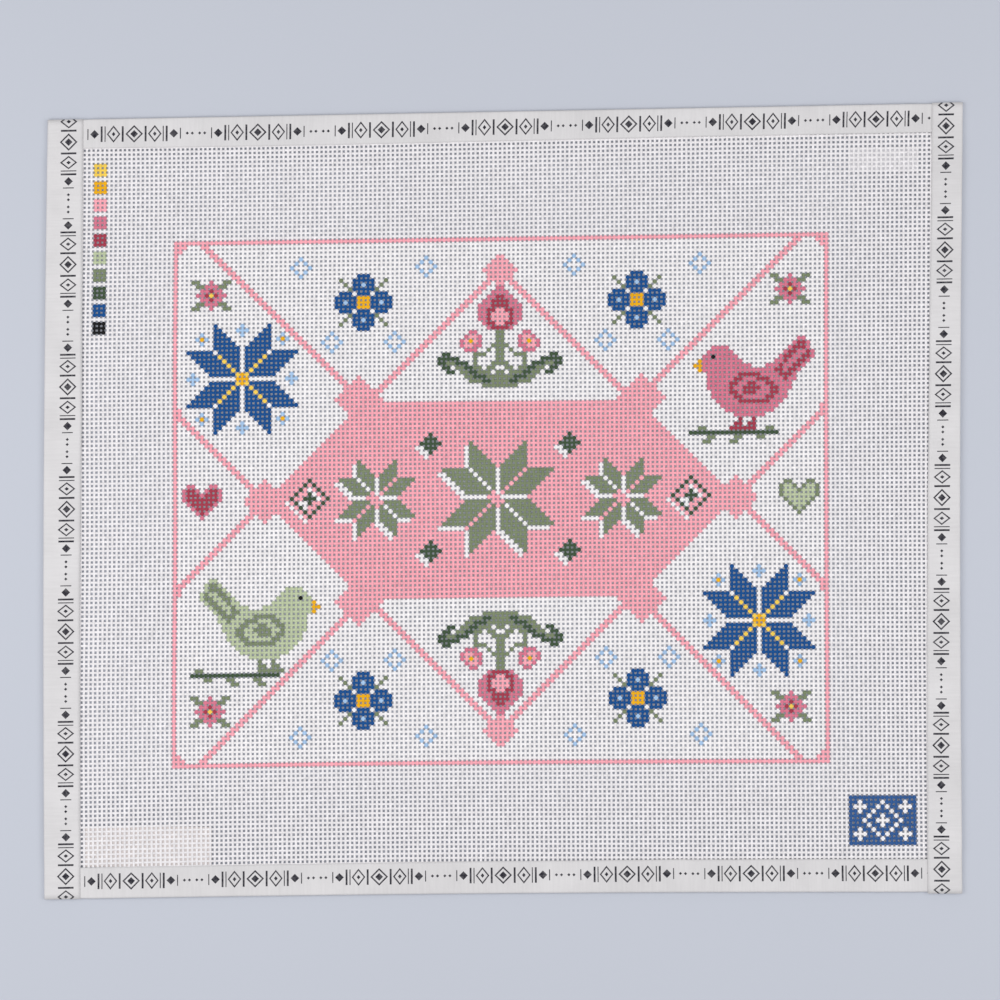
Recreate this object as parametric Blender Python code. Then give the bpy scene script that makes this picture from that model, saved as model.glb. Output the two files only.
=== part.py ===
"""A needlepoint canvas panel, lying flat with its painted side up.

The panel is a length of open cotton mesh. Its four raw edges are bound with white cotton tape, folded
lengthwise over the edge. The top and bottom tapes are sewn first, and the left and right tapes cover
their ends. Two small labels are stuck to the back of the mesh.

X runs along the bottom edge, Y up the panel and Z up from the table. Sizes are in millimetres, and the
pieces are made in metres. The origin is the middle of the panel's bounding box, on the table.
"""

import math

import bmesh
import bpy
from mathutils import Vector

MM = 0.001

# The panel as it was cut, a true rectangle
WIDTH = 400.0
HEIGHT = 344.0

# Its corners as it lies, a little out of square
BOTTOM_LEFT = Vector((-200.2, -174.0))
BOTTOM_RIGHT = Vector((200.4, -170.8))
TOP_RIGHT = Vector((200.6, 173.4))
TOP_LEFT = Vector((-198.7, 165.9))

# Each edge from its first corner to its last, the way out of the panel, and how far its middle bows out
EDGES = {
    "bottom": (BOTTOM_LEFT, BOTTOM_RIGHT, Vector((0.0, -1.0)), -1.0),
    "top": (TOP_LEFT, TOP_RIGHT, Vector((0.0, 1.0)), 0.0),
    "left": (BOTTOM_LEFT, TOP_LEFT, Vector((-1.0, 0.0)), 1.0),
    "right": (BOTTOM_RIGHT, TOP_RIGHT, Vector((1.0, 0.0)), -1.1),
}

# Cloth and the room that neighbouring layers keep
CLOTH = 1.0
GAP = 0.3

# The layers at an edge, from the table up: back of the tape, mesh, front of the tape
MESH_UNDERSIDE = CLOTH + GAP
TAPE_TOP = MESH_UNDERSIDE + CLOTH + GAP + CLOTH
CORNER_TOP = TAPE_TOP + GAP + CLOTH
MESH_INSET = 2.1

# The mesh sinks to the table away from the bindings, with slight waves
SAG = 1.0
SAG_STARTS = 34.0
SAG_ENDS = 95.0
WAVE = 0.1
WAVE_LENGTH_X = 118.0
WAVE_LENGTH_Y = 93.0
MESH_COLUMNS = 32
MESH_ROWS = 28

# The tape, and the width of its front at the start and the end of each run
TAPE_WIDTH = 28.6
FOLD_LENGTH = 4.1
FRONT_WIDTH = {
    "top": (11.8, 12.7),
    "bottom": (13.1, 14.1),
    "left": (15.5, 15.1),
    "right": (14.6, 13.3),
}
ARC_STEPS = 8
TAPE_STEPS = 14

# The right tape's ends stand past the edges that it covers
END_PAST = {"left": 0.0, "right": 0.6}
END_INSET = 2.5
RAMP_LENGTH = 5.0
RAMP_CLEARANCE = 0.8
RAMP_STEPS = 4

# Labels on the back: middle, width and height
LABELS = {
    "label_upper": ((165.8, 148.6), (29.7, 10.5)),
    "label_lower": ((-155.1, -151.2), (55.9, 17.4)),
}
LABEL_CORNER = 1.0


def clear_scene():
    for old in list(bpy.data.objects):
        bpy.data.objects.remove(old, do_unlink=True)


def material(name, colour, roughness):
    finish = bpy.data.materials.new(name)
    finish.use_nodes = True
    shader = finish.node_tree.nodes["Principled BSDF"]
    shader.inputs["Base Color"].default_value = (*colour, 1.0)
    shader.inputs["Roughness"].default_value = roughness
    shader.inputs["Metallic"].default_value = 0.0
    return finish


def smooth_step(x):
    x = min(max(x, 0.0), 1.0)
    return x * x * (3.0 - 2.0 * x)


def edge_point(side, t):
    """The point at share t of an edge, which bows evenly between its corners."""
    first, last, outward, bow = EDGES[side]
    return first.lerp(last, t) + outward * bow * math.sin(math.pi * t)


def laid(x, y, z):
    """Where a point of the squarely cut panel lies, in metres: the edges' bows die away across it."""
    u = x / WIDTH + 0.5
    v = y / HEIGHT + 0.5
    between_rows = edge_point("bottom", u).lerp(edge_point("top", u), v)
    between_columns = edge_point("left", v).lerp(edge_point("right", v), u)
    between_corners = BOTTOM_LEFT.lerp(BOTTOM_RIGHT, u).lerp(TOP_LEFT.lerp(TOP_RIGHT, u), v)
    place = between_rows + between_columns - between_corners
    return Vector((place.x, place.y, z)) * MM


def new_piece(name, mesh, finish):
    """Adds a closed mesh to the scene with its faces pointing out."""
    bmesh.ops.recalc_face_normals(mesh, faces=mesh.faces)
    data = bpy.data.meshes.new(name)
    mesh.to_mesh(data)
    mesh.free()
    data.materials.append(finish)
    piece = bpy.data.objects.new(name, data)
    bpy.context.scene.collection.objects.link(piece)
    return piece


def mesh_underside(x, y):
    """Height of the mesh's underside: level in the bindings, lower and slightly waved in the middle."""
    inward = min(WIDTH / 2 - abs(x), HEIGHT / 2 - abs(y))
    sunk = smooth_step((inward - SAG_STARTS) / (SAG_ENDS - SAG_STARTS))
    wave = math.sin(2 * math.pi * x / WAVE_LENGTH_X) * math.cos(2 * math.pi * y / WAVE_LENGTH_Y)
    return MESH_UNDERSIDE - (SAG - WAVE * wave) * sunk


def make_canvas(finish):
    """The mesh ground: one sheet of even thickness, its edges inside the bindings."""
    mesh = bmesh.new()
    half_width = WIDTH / 2 - MESH_INSET
    half_height = HEIGHT / 2 - MESH_INSET
    under = []
    over = []
    for row in range(MESH_ROWS + 1):
        y = -half_height + 2 * half_height * row / MESH_ROWS
        xs = [-half_width + 2 * half_width * column / MESH_COLUMNS for column in range(MESH_COLUMNS + 1)]
        under.append([mesh.verts.new(laid(x, y, mesh_underside(x, y))) for x in xs])
        over.append([mesh.verts.new(laid(x, y, mesh_underside(x, y) + CLOTH)) for x in xs])
    for grid in (under, over):
        for low, high in zip(grid, grid[1:]):
            for left, right, right_up, left_up in zip(low, low[1:], high[1:], high):
                mesh.faces.new((left, right, right_up, left_up))
    rims = [(under[0], over[0]), (under[-1], over[-1])]
    rims += [([row[end] for row in under], [row[end] for row in over]) for end in (0, -1)]
    for lower, upper in rims:
        for a, b, b_up, a_up in zip(lower, lower[1:], upper[1:], upper):
            mesh.faces.new((a, b, b_up, a_up))
    return new_piece("canvas", mesh, finish)


def folded_section(front, top):
    """A folded tape seen from its end, as (distance in from the fold, height) round its outline."""
    back = TAPE_WIDTH - FOLD_LENGTH - front
    outer = top / 2
    inner = outer - CLOTH
    turns = [math.pi * step / ARC_STEPS for step in range(ARC_STEPS + 1)]
    outside = [(outer - outer * math.sin(a), outer + outer * math.cos(a)) for a in turns]
    inside = [(outer - inner * math.sin(a), outer + inner * math.cos(a)) for a in reversed(turns)]
    return [(front, top), *outside, (back, 0.0), (back, CLOTH), *inside, (front, top - CLOTH)]


def loft(name, rings, finish):
    """Joins rings of points into one closed piece with flat ends."""
    mesh = bmesh.new()
    rows = [[mesh.verts.new(point) for point in ring] for ring in rings]
    for ring, following in zip(rows, rows[1:]):
        for i in range(len(ring)):
            after = (i + 1) % len(ring)
            mesh.faces.new((ring[i], ring[after], following[after], following[i]))
    mesh.faces.new(rows[0])
    mesh.faces.new(rows[-1])
    return new_piece(name, mesh, finish)


def front_width(side, t):
    first, last = FRONT_WIDTH[side]
    return first + (last - first) * t


def even_steps(first, last, count):
    return [first + (last - first) * step / count for step in range(count + 1)]


def make_long_binding(side, finish):
    """The top or bottom tape, whose ends lie under the side tapes."""
    outward = 1.0 if side == "top" else -1.0
    rings = []
    for x in even_steps(END_INSET - WIDTH / 2, WIDTH / 2 - END_INSET, TAPE_STEPS):
        section = folded_section(front_width(side, x / WIDTH + 0.5), TAPE_TOP)
        rings.append([laid(x, outward * (HEIGHT / 2 - inward), z) for inward, z in section])
    return loft("binding_" + side, rings, finish)


def make_side_binding(side, finish):
    """The left or right tape, which climbs over the other tapes' ends at both corners."""
    outward = 1.0 if side == "right" else -1.0
    end = HEIGHT / 2 + END_PAST[side]
    corner = 0 if side == "left" else 1
    climb_up = HEIGHT / 2 - FRONT_WIDTH["top"][corner] - RAMP_CLEARANCE
    climb_down = HEIGHT / 2 - FRONT_WIDTH["bottom"][corner] - RAMP_CLEARANCE
    stations = [-end]
    stations += even_steps(-climb_down, RAMP_LENGTH - climb_down, RAMP_STEPS)
    stations += even_steps(RAMP_LENGTH - climb_down, climb_up - RAMP_LENGTH, TAPE_STEPS)[1:-1]
    stations += even_steps(climb_up - RAMP_LENGTH, climb_up, RAMP_STEPS)
    stations += [end]
    rings = []
    for y in stations:
        climb = climb_up if y > 0 else climb_down
        raised = smooth_step((abs(y) - climb + RAMP_LENGTH) / RAMP_LENGTH)
        top = TAPE_TOP + (CORNER_TOP - TAPE_TOP) * raised
        section = folded_section(front_width(side, y / HEIGHT + 0.5), top)
        rings.append([laid(outward * (WIDTH / 2 - inward), y, z) for inward, z in section])
    return loft("binding_" + side, rings, finish)


def add_block(mesh, low, high):
    """Adds a block of the squarely cut panel, laid with it."""
    corners = bmesh.ops.create_cube(mesh, size=1.0)["verts"]
    for vertex in corners:
        place = [a + (b - a) * (c + 0.5) for a, b, c in zip(low, high, vertex.co)]
        vertex.co = laid(*place)


def cut_back_ends(binding, side):
    """Cuts the back of a top or bottom tape away where the side tapes' backs lie."""
    outward = 1.0 if side == "top" else -1.0
    edge = outward * (HEIGHT / 2 + CLOTH)
    inner = outward * (HEIGHT / 2 - TAPE_WIDTH)
    t = 1.0 if side == "top" else 0.0
    mesh = bmesh.new()
    for neighbour, way in (("left", -1.0), ("right", 1.0)):
        back = TAPE_WIDTH - FOLD_LENGTH - front_width(neighbour, t) + GAP
        start, stop = sorted((way * (WIDTH / 2 + CLOTH), way * (WIDTH / 2 - back)))
        add_block(
            mesh,
            (start, min(edge, inner), -CLOTH),
            (stop, max(edge, inner), MESH_UNDERSIDE),
        )
    cutter = new_piece("cutter_" + side, mesh, binding.data.materials[0])
    cutter.hide_render = True
    cutter.display_type = "WIRE"
    cut = binding.modifiers.new("back ends", "BOOLEAN")
    cut.operation = "DIFFERENCE"
    cut.object = cutter


def make_label(name, finish):
    """A small patch on the back, with slightly rounded corners."""
    middle, size = LABELS[name]
    mesh = bmesh.new()
    made = bmesh.ops.create_cube(mesh, size=1.0)
    for vertex in made["verts"]:
        vertex.co.x = (middle[0] + vertex.co.x * size[0]) * MM
        vertex.co.y = (middle[1] + vertex.co.y * size[1]) * MM
        vertex.co.z = (vertex.co.z + 0.5) * CLOTH * MM
    upright = [e for e in mesh.edges if abs(e.verts[0].co.z - e.verts[1].co.z) > CLOTH * MM / 2]
    bmesh.ops.bevel(
        mesh,
        geom=upright,
        offset=LABEL_CORNER * MM,
        offset_type="OFFSET",
        segments=3,
        profile=0.5,
        affect="EDGES",
    )
    return new_piece(name, mesh, finish)


clear_scene()
make_canvas(material("mesh_cotton", (0.80, 0.79, 0.76), 0.85))
tape_cotton = material("tape_cotton", (0.72, 0.70, 0.68), 0.9)
for long_side in ("top", "bottom"):
    cut_back_ends(make_long_binding(long_side, tape_cotton), long_side)
for short_side in ("left", "right"):
    make_side_binding(short_side, tape_cotton)
make_label("label_upper", material("white_paper", (0.85, 0.85, 0.86), 0.6))
make_label("label_lower", material("cream_paper", (0.83, 0.78, 0.72), 0.6))
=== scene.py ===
import math

import bpy
import numpy as np
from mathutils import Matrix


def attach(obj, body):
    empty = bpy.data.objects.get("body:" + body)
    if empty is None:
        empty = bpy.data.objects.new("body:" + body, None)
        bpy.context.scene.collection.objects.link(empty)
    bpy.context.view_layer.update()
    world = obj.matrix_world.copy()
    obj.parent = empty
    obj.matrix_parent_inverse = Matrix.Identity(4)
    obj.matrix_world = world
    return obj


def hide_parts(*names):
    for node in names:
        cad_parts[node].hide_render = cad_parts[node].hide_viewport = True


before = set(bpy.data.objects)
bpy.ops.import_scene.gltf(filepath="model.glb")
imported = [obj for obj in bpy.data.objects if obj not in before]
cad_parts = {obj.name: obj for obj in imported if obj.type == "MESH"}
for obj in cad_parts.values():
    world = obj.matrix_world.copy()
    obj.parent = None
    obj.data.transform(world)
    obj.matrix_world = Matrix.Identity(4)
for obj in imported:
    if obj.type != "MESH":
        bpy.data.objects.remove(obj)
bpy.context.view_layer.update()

# The canvas: open mesh of single hard-twisted white cotton threads, 13 to the inch, woven over one and
# under one and stiffened with size. It lies flat on the table, a little out of square and drawn, as it
# was cut from the roll. Sizes are in millimetres on the squarely cut panel.

MM = 0.001
WIDTH = 400.0
HEIGHT = 344.0

# Corners of the panel as it lies, and how far the middle of each edge bows, across and up
BOTTOM_LEFT = np.array((-200.2, -174.0))
BOTTOM_RIGHT = np.array((200.4, -170.8))
TOP_RIGHT = np.array((200.6, 173.4))
TOP_LEFT = np.array((-198.7, 165.9))
EDGES = {
    "bottom": (BOTTOM_LEFT, BOTTOM_RIGHT, np.array((0.0, 1.0))),
    "top": (TOP_LEFT, TOP_RIGHT, np.array((0.0, 0.0))),
    "left": (BOTTOM_LEFT, TOP_LEFT, np.array((-1.0, 0.0))),
    "right": (BOTTOM_RIGHT, TOP_RIGHT, np.array((-1.1, 0.0))),
}

# The middle of the weave stands this high inside the folded tapes, where its cut edges end, and sinks by
# SAG further in, from the first to the second distance from each edge, with a faint wave
MESH_IN_TAPES = 1.05
MESH_INSET = 2.1
SAG = 0.42
SAG_RUNS = {"left": (10.0, 22.0), "top": (13.0, 25.0), "right": (12.0, 64.0), "bottom": (12.0, 64.0)}
WAVE = 0.06
WAVE_LENGTH_X = 118.0
WAVE_LENGTH_Y = 93.0

# How far a crossing is drawn aside and up from an even grid, at the most, by each sweep of the cloth
WAIST_ASIDE = 0.8
WAIST_ASIDE_FADE = 0.4
TOP_ASIDE = 1.2
CORNER_ASIDE = 0.9
RIPPLE_ASIDE = 0.3
SWAY_ASIDE = 0.22
SWAY_TURNS = 2.2
SWAY_START = 0.45
WAIST_UP = 2.3
WAIST_UP_FADE = 1.4
TILT_UP = 1.2
TILT_LEVEL = 0.58
BOTTOM_UP = 0.9
TOP_UP = 0.24
RIPPLE_UP = 0.26

COLUMN_PITCH = 1.9638
ROW_PITCH = 1.9728
FIRST_HOLE_X = -183.75
FIRST_HOLE_Y = 157.75
THREAD_WIDTH = 0.95
THREAD_HEIGHT = 0.3
WEAVE_RISE = 0.12
MESH_HALF_THICKNESS = WEAVE_RISE + THREAD_HEIGHT / 2

# Bare thread keeps its width, and paint thickens it: white the most, the colours a little
PAINT_BUILD = {".": 1.0, "w": 1.05}
COLOUR_BUILD = 1.02


def along_edge(side, t):
    """Points at the shares t of an edge, which bows evenly between its corners."""
    first, last, bow = EDGES[side]
    t = np.asarray(t, float)[..., None]
    return first + (last - first) * t + bow * np.sin(math.pi * t)


def laid(x, y, z):
    """Where points of the squarely cut panel lie, in metres."""
    x, y, z = np.broadcast_arrays(np.asarray(x, float), y, z)
    u = x / WIDTH + 0.5
    v = y / HEIGHT + 0.5
    right = u[..., None]
    up = v[..., None]
    between_rows = along_edge("bottom", u) * (1 - up) + along_edge("top", u) * up
    between_columns = along_edge("left", v) * (1 - right) + along_edge("right", v) * right
    lower = BOTTOM_LEFT * (1 - right) + BOTTOM_RIGHT * right
    upper = TOP_LEFT * (1 - right) + TOP_RIGHT * right
    flat = between_rows + between_columns - lower * (1 - up) - upper * up
    return np.concatenate((flat, z[..., None]), axis=-1) * MM


def smooth_step(x):
    """Eases from 0 to 1 between x = 0 and x = 1."""
    x = np.clip(x, 0.0, 1.0)
    return x * x * (3.0 - 2.0 * x)


def mesh_middle(x, y):
    """Height of the middle of the weave: level in the bindings, lower and slightly waved inside."""
    inward = {
        "left": WIDTH / 2 + x,
        "top": HEIGHT / 2 - y,
        "right": WIDTH / 2 - x,
        "bottom": HEIGHT / 2 + y,
    }
    sunk = 1.0
    for side, (start, end) in SAG_RUNS.items():
        sunk = sunk * smooth_step((inward[side] - start) / (end - start))
    wave = np.sin(2 * math.pi * x / WAVE_LENGTH_X) * np.cos(2 * math.pi * y / WAVE_LENGTH_Y)
    return MESH_IN_TAPES - (SAG - WAVE * wave) * sunk


def drawn(x, y):
    """How far the weave is drawn from an even grid: rows ride up mid-height, most at the left."""
    u = x / WIDTH + 0.5
    v = y / HEIGHT + 0.5
    waist = np.sin(math.pi * v)
    belly = np.sin(math.pi * u)
    ripple = np.sin(2 * math.pi * u)
    sway = (1 - u) ** 2 * np.cos(2 * math.pi * SWAY_TURNS * (v - SWAY_START))
    aside = (WAIST_ASIDE - WAIST_ASIDE_FADE * u) * waist + CORNER_ASIDE * u * u * (1 - v) ** 2
    aside += SWAY_ASIDE * sway + RIPPLE_ASIDE * ripple * v - TOP_ASIDE * belly * v * v
    upward = (WAIST_UP - WAIST_UP_FADE * u) * waist - TILT_UP * (u - 0.5) * (v - TILT_LEVEL)
    upward += BOTTOM_UP * (1 - u) * belly * (1 - v) ** 2 - TOP_UP * belly * v
    upward += RIPPLE_UP * ripple * np.cos(3 * math.pi * v)
    return aside, upward


# The chart is painted on the mesh stitch by stitch: one stitch is one crossing of the threads. Columns
# count from the left and rows from the top, from the first whole hole that shows beside the tapes.
# It is a traditional design of stars, birds, hearts and tulips in a lattice, with a key of its colours.

FIRST_COLUMN = math.ceil((MESH_INSET - WIDTH / 2 - FIRST_HOLE_X) / COLUMN_PITCH - 0.5)
LAST_COLUMN = math.floor((WIDTH / 2 - MESH_INSET - FIRST_HOLE_X) / COLUMN_PITCH - 0.5)
FIRST_ROW = math.ceil((FIRST_HOLE_Y - HEIGHT / 2 + MESH_INSET) / ROW_PITCH - 0.5)
LAST_ROW = math.floor((FIRST_HOLE_Y + HEIGHT / 2 - MESH_INSET) / ROW_PITCH - 0.5)

# Paints, as (red, green, blue) out of 255
PAINTS = {
    ".": (237, 234, 236),  # bare cotton
    "w": (242, 239, 240),  # white
    "y": (246, 208, 86),  # yellow
    "g": (238, 176, 8),  # gold
    "p": (249, 170, 182),  # pink
    "r": (216, 120, 143),  # rose
    "c": (165, 56, 76),  # crimson
    "l": (187, 198, 163),  # light green
    "m": (123, 135, 104),  # middle green
    "d": (62, 82, 58),  # dark green
    "b": (6, 76, 141),  # blue
    "n": (46, 88, 146),  # slate blue
    "k": (12, 12, 14),  # black
    "s": (166, 198, 232),  # sky blue
}
PAINT_ORDER = list(PAINTS)

chart = np.full((LAST_ROW - FIRST_ROW + 1, LAST_COLUMN - FIRST_COLUMN + 1), ".")


def stitch(column, row, paint):
    """Paints one crossing."""
    chart[row - FIRST_ROW, column - FIRST_COLUMN] = paint


def stitch_rows(column, row, rows, mirror=False, upended=False, swap=""):
    """Paints a small chart from its top left stitch; swap pairs each letter with the paint it stands for."""
    for down, line in enumerate(reversed(rows) if upended else rows):
        for across, paint in enumerate(reversed(line) if mirror else line):
            if paint != ".":
                stitch(column + across, row + down, dict(zip(swap[::2], swap[1::2])).get(paint, paint))


def stitch_star(column, row, size, paint):
    """An eight-pointed star of eight diamonds, parted by plain lines of stitches."""
    for y in range(-2 * size, 2 * size + 1):
        for x in range(-2 * size, 2 * size + 1):
            near, far = sorted((abs(x), abs(y)))
            if 1 <= near <= size and 1 <= far - near <= size:
                stitch(column + x, row + y, paint)


def stitch_diamond(column, row, reach, paint, hollow=False):
    """A diamond, or only its outline, that reaches so many stitches from its middle."""
    for y in range(-reach, reach + 1):
        for x in range(-reach, reach + 1):
            steps = abs(x) + abs(y)
            if steps == reach or (steps < reach and not hollow):
                stitch(column + x, row + y, paint)


# Colour key: ten squares of three by three stitches down the left, one stitch apart
KEY_COLUMN = 2
KEY_ROW = 3
KEY_SIDE = 3
for place, paint in enumerate("ygprclmdbk"):
    for down in range(KEY_SIDE):
        for across in range(KEY_SIDE):
            stitch(KEY_COLUMN + across, KEY_ROW + (KEY_SIDE + 1) * place + down, paint)

# The pink frame, the medallion in its middle and the lattice of two-stitch lines that joins them. The
# lines widen into diamonds where they meet: (across and down from the middle, reach).
LEFT_COLUMN = 20
RIGHT_COLUMN = 165
TOP_ROW = 21
BOTTOM_ROW = 138
MIDDLE_COLUMN = (LEFT_COLUMN + RIGHT_COLUMN) / 2
MIDDLE_ROW = (TOP_ROW + BOTTOM_ROW) / 2
DIAMOND_REACH = 52
MEDALLION_HALF_HEIGHT = 22
CROSSING = DIAMOND_REACH - 2 * MEDALLION_HALF_HEIGHT
CORNER_FILL = 4
LATTICE_KNOTS = ((0, 51, 3), (31, 22, 5), (72, 20, 1), (52, 0, 4))
DIAGONALS = ((1, 1), (1, -1), (-1, 1), (-1, -1))
STRAIGHTS = ((0, 1), (0, -1), (1, 0), (-1, 0))

for row in range(TOP_ROW, BOTTOM_ROW + 1):
    for column in range(LEFT_COLUMN, RIGHT_COLUMN + 1):
        across = int(abs(column - MIDDLE_COLUMN) + 0.5)
        down = int(abs(row - MIDDLE_ROW) + 0.5)
        from_side = min(column - LEFT_COLUMN, RIGHT_COLUMN - column)
        from_end = min(row - TOP_ROW, BOTTOM_ROW - row)
        on_frame = from_side == 0 or from_end == 0 or from_side + from_end < CORNER_FILL
        in_medallion = across + down <= DIAMOND_REACH + 1 and down <= MEDALLION_HALF_HEIGHT
        on_roof = across + down in (DIAMOND_REACH, DIAMOND_REACH + 1)
        on_ray = across - down in (CROSSING, CROSSING + 1) and down > MEDALLION_HALF_HEIGHT
        on_side = across - down in (DIAMOND_REACH, DIAMOND_REACH + 1)
        if on_frame or in_medallion or on_roof or on_ray or on_side:
            stitch(column, row, "p")

for turn_x, turn_y in DIAGONALS:
    for across, down, reach in LATTICE_KNOTS:
        knot_column = int(MIDDLE_COLUMN + turn_x * (across + 0.5))
        knot_row = int(MIDDLE_ROW + turn_y * (down + 0.5))
        for y in range(-reach, reach + 1):
            for x in range(abs(y) - reach, reach + 1 - abs(y)):
                column = min(max(knot_column + x, LEFT_COLUMN), RIGHT_COLUMN)
                row = min(max(knot_row + y, TOP_ROW), BOTTOM_ROW)
                stitch(column, row, "p")

# The medallion's green stars, lozenges and leaves, each with a white shadow down to its left
LEFT_OF_MIDDLE = int(MIDDLE_COLUMN)
ABOVE_MIDDLE = int(MIDDLE_ROW)
SMALL_STAR = 4
LARGE_STAR = 6
for shift_x, shift_y, star_paint, leaf_paint in ((-1, 1, "w", "w"), (0, 0, "m", "d")):
    middle_column = LEFT_OF_MIDDLE + shift_x
    middle_row = ABOVE_MIDDLE + shift_y
    for across, size in ((-27, SMALL_STAR), (0, LARGE_STAR), (28, SMALL_STAR)):
        stitch_star(middle_column + across, middle_row, size, star_paint)
    for across in (-42, 43):
        stitch_diamond(middle_column + across, middle_row, 4, leaf_paint, hollow=True)
        stitch_diamond(middle_column + across, middle_row, 1, leaf_paint)
    for across in (-15, 16):
        for down in (-12, 12):
            stitch_diamond(middle_column + across, middle_row + down, 2, leaf_paint)

# Corner panels: two birds, each on a branch, two blue stars and four blossoms. A and B are a bird's body
# and the marks on it.
BIRD = (
    ".......................AA..",
    "......................ABBA.",
    "....AAAA.............ABBBA.",
    "...AAAAAA...........ABBAABA",
    "..AAkAAAAA.........ABBAABBA",
    ".gAAAAAAAAA.......AABAABBA.",
    "ggAAAAAAAAAAA...AAABAABBA..",
    ".gAAAAAAAAAAAAAAAABBABBA...",
    "...AAAAAAABBBBBAAAABBBA....",
    "...AAAAAABBAAABBBAAABAA....",
    "...AAAAABBAABBAABBAAAA.....",
    "...AAAAABAABBBBAABBAAA.....",
    "....AAAABBABBBAAABBAA......",
    "....AAAAABBAAAAABBAAA......",
    ".....AAAAABBBBBBBAAA.......",
    "......AAAAAAAAAAAAA........",
    ".......AAAAAAAAAAA.........",
    ".........AAAAAAA...........",
    "..........B..B.............",
    ".........BB.BB.............",
    "........BBBBBB.............",
)
BRANCH = (
    "..mm.............mm.",
    "dddddddddddddddddddd",
    "....mm....mm...mm...",
    "...mm....mm.........",
)
BLOSSOM = (
    "mm..r..mm",
    ".mmrrrmm.",
    "..rrcrr..",
    ".rrcycrr.",
    "..rrcrr..",
    ".mmrrrmm.",
    "mm..r..mm",
)
stitch_rows(RIGHT_COLUMN - 30, TOP_ROW + 43, BRANCH)
stitch_rows(RIGHT_COLUMN - 29, TOP_ROW + 23, BIRD, swap="ArBc")
stitch_rows(LEFT_COLUMN + 4, BOTTOM_ROW - 21, BRANCH, mirror=True)
stitch_rows(LEFT_COLUMN + 6, BOTTOM_ROW - 41, BIRD, mirror=True, swap="AlBm")
for blossom_column in (LEFT_COLUMN + 4, RIGHT_COLUMN - 12):
    for blossom_row in (TOP_ROW + 9, BOTTOM_ROW - 15):
        stitch_rows(blossom_column, blossom_row, BLOSSOM)
STAR_ACROSS = 15
STAR_DOWN = 31
DIAGONAL_SPARK = 9
STRAIGHT_SPARK = 11
for star_column, star_row in (
    (LEFT_COLUMN + STAR_ACROSS, TOP_ROW + STAR_DOWN),
    (RIGHT_COLUMN - STAR_ACROSS, BOTTOM_ROW - STAR_DOWN),
):
    stitch_star(star_column, star_row, LARGE_STAR, "b")
    for turn_x, turn_y in DIAGONALS:
        for step in range(1, LARGE_STAR):
            stitch(star_column + turn_x * step, star_row + turn_y * step, "y")
        spark_column = star_column + DIAGONAL_SPARK * turn_x
        spark_row = star_row + DIAGONAL_SPARK * turn_y
        stitch_diamond(spark_column, spark_row, 1, "s")
        stitch(spark_column, spark_row, "g")
    for turn_x, turn_y in STRAIGHTS:
        stitch_diamond(star_column + STRAIGHT_SPARK * turn_x, star_row + STRAIGHT_SPARK * turn_y, 1, "s")
    stitch_diamond(star_column, star_row, 1, "g")

# Tulip plants above and below the medallion: the right half, from the middle out
TULIP = (
    "r..............",
    "rr.............",
    "crr............",
    "ccrr...........",
    "ccrrr..........",
    "pccrr..........",
    "ppcrr..........",
    "ppcrr..........",
    "pccr...........",
    "ccr............",
    "m....rr........",
    "m...rppr.......",
    "m...rpgpr......",
    "mm..rrppr......",
    "m.m..rrr.......",
    "m..mmm.....dd..",
    "m....m...ddddd.",
    "mm...m.dddmmdd.",
    ".mm.mmddmm.dd..",
    "m.mmmddmm.dd...",
    "mmmdddmm.......",
    "mmddmmm........",
    "mmmm...........",
)
for upended, top in ((False, TOP_ROW + 11), (True, BOTTOM_ROW - 10 - len(TULIP))):
    stitch_rows(LEFT_OF_MIDDLE + 1, top, TULIP, upended=upended)
    stitch_rows(LEFT_OF_MIDDLE + 1 - len(TULIP[0]), top, TULIP, mirror=True, upended=upended)

# Four blue flowers of four round petals, with green leaves and light blue rings, between the lattice and
# the frame
FLOWER_REACH = 6
PETAL_PLACE = 4
PETAL_REACH_SQUARED = 6
LEAF_STEPS = (3, 5)
RINGS = ((-14, 8), (14, 8), (-7, -9), (7, -9))
for flower_column in (LEFT_OF_MIDDLE - 30, LEFT_OF_MIDDLE + 31):
    for flower_row, outward in ((TOP_ROW + 14, -1), (BOTTOM_ROW - 14, 1)):
        for y in range(-FLOWER_REACH, FLOWER_REACH + 1):
            for x in range(-FLOWER_REACH, FLOWER_REACH + 1):
                near, far = sorted((abs(x), abs(y)))
                from_petal = (far - PETAL_PLACE) ** 2 + near ** 2
                if far <= 1:
                    stitch(flower_column + x, flower_row + y, "g")
                elif from_petal <= PETAL_REACH_SQUARED:
                    stitch(flower_column + x, flower_row + y, "s" if from_petal == 0 else "b")
                elif near == far and LEAF_STEPS[0] <= far <= LEAF_STEPS[1]:
                    stitch(flower_column + x, flower_row + y, "m")
        for ring_x, ring_y in RINGS:
            stitch_diamond(flower_column + ring_x, flower_row + outward * ring_y, 2, "s", hollow=True)

# Hearts at the sides. A and B are a heart's rim and its filling.
HEART = (
    ".AA...AA.",
    "ABBA.ABBA",
    "ABBBABBBA",
    "ABBBBBBBA",
    ".ABBBBBA.",
    "..ABBBA..",
    "...ABA...",
    "....A....",
)
stitch_rows(LEFT_COLUMN + 2, ABOVE_MIDDLE - 3, HEART, swap="ArBc")
stitch_rows(RIGHT_COLUMN - 1 - len(HEART[0]), ABOVE_MIDDLE - 3, HEART, swap="AmBl")

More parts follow.
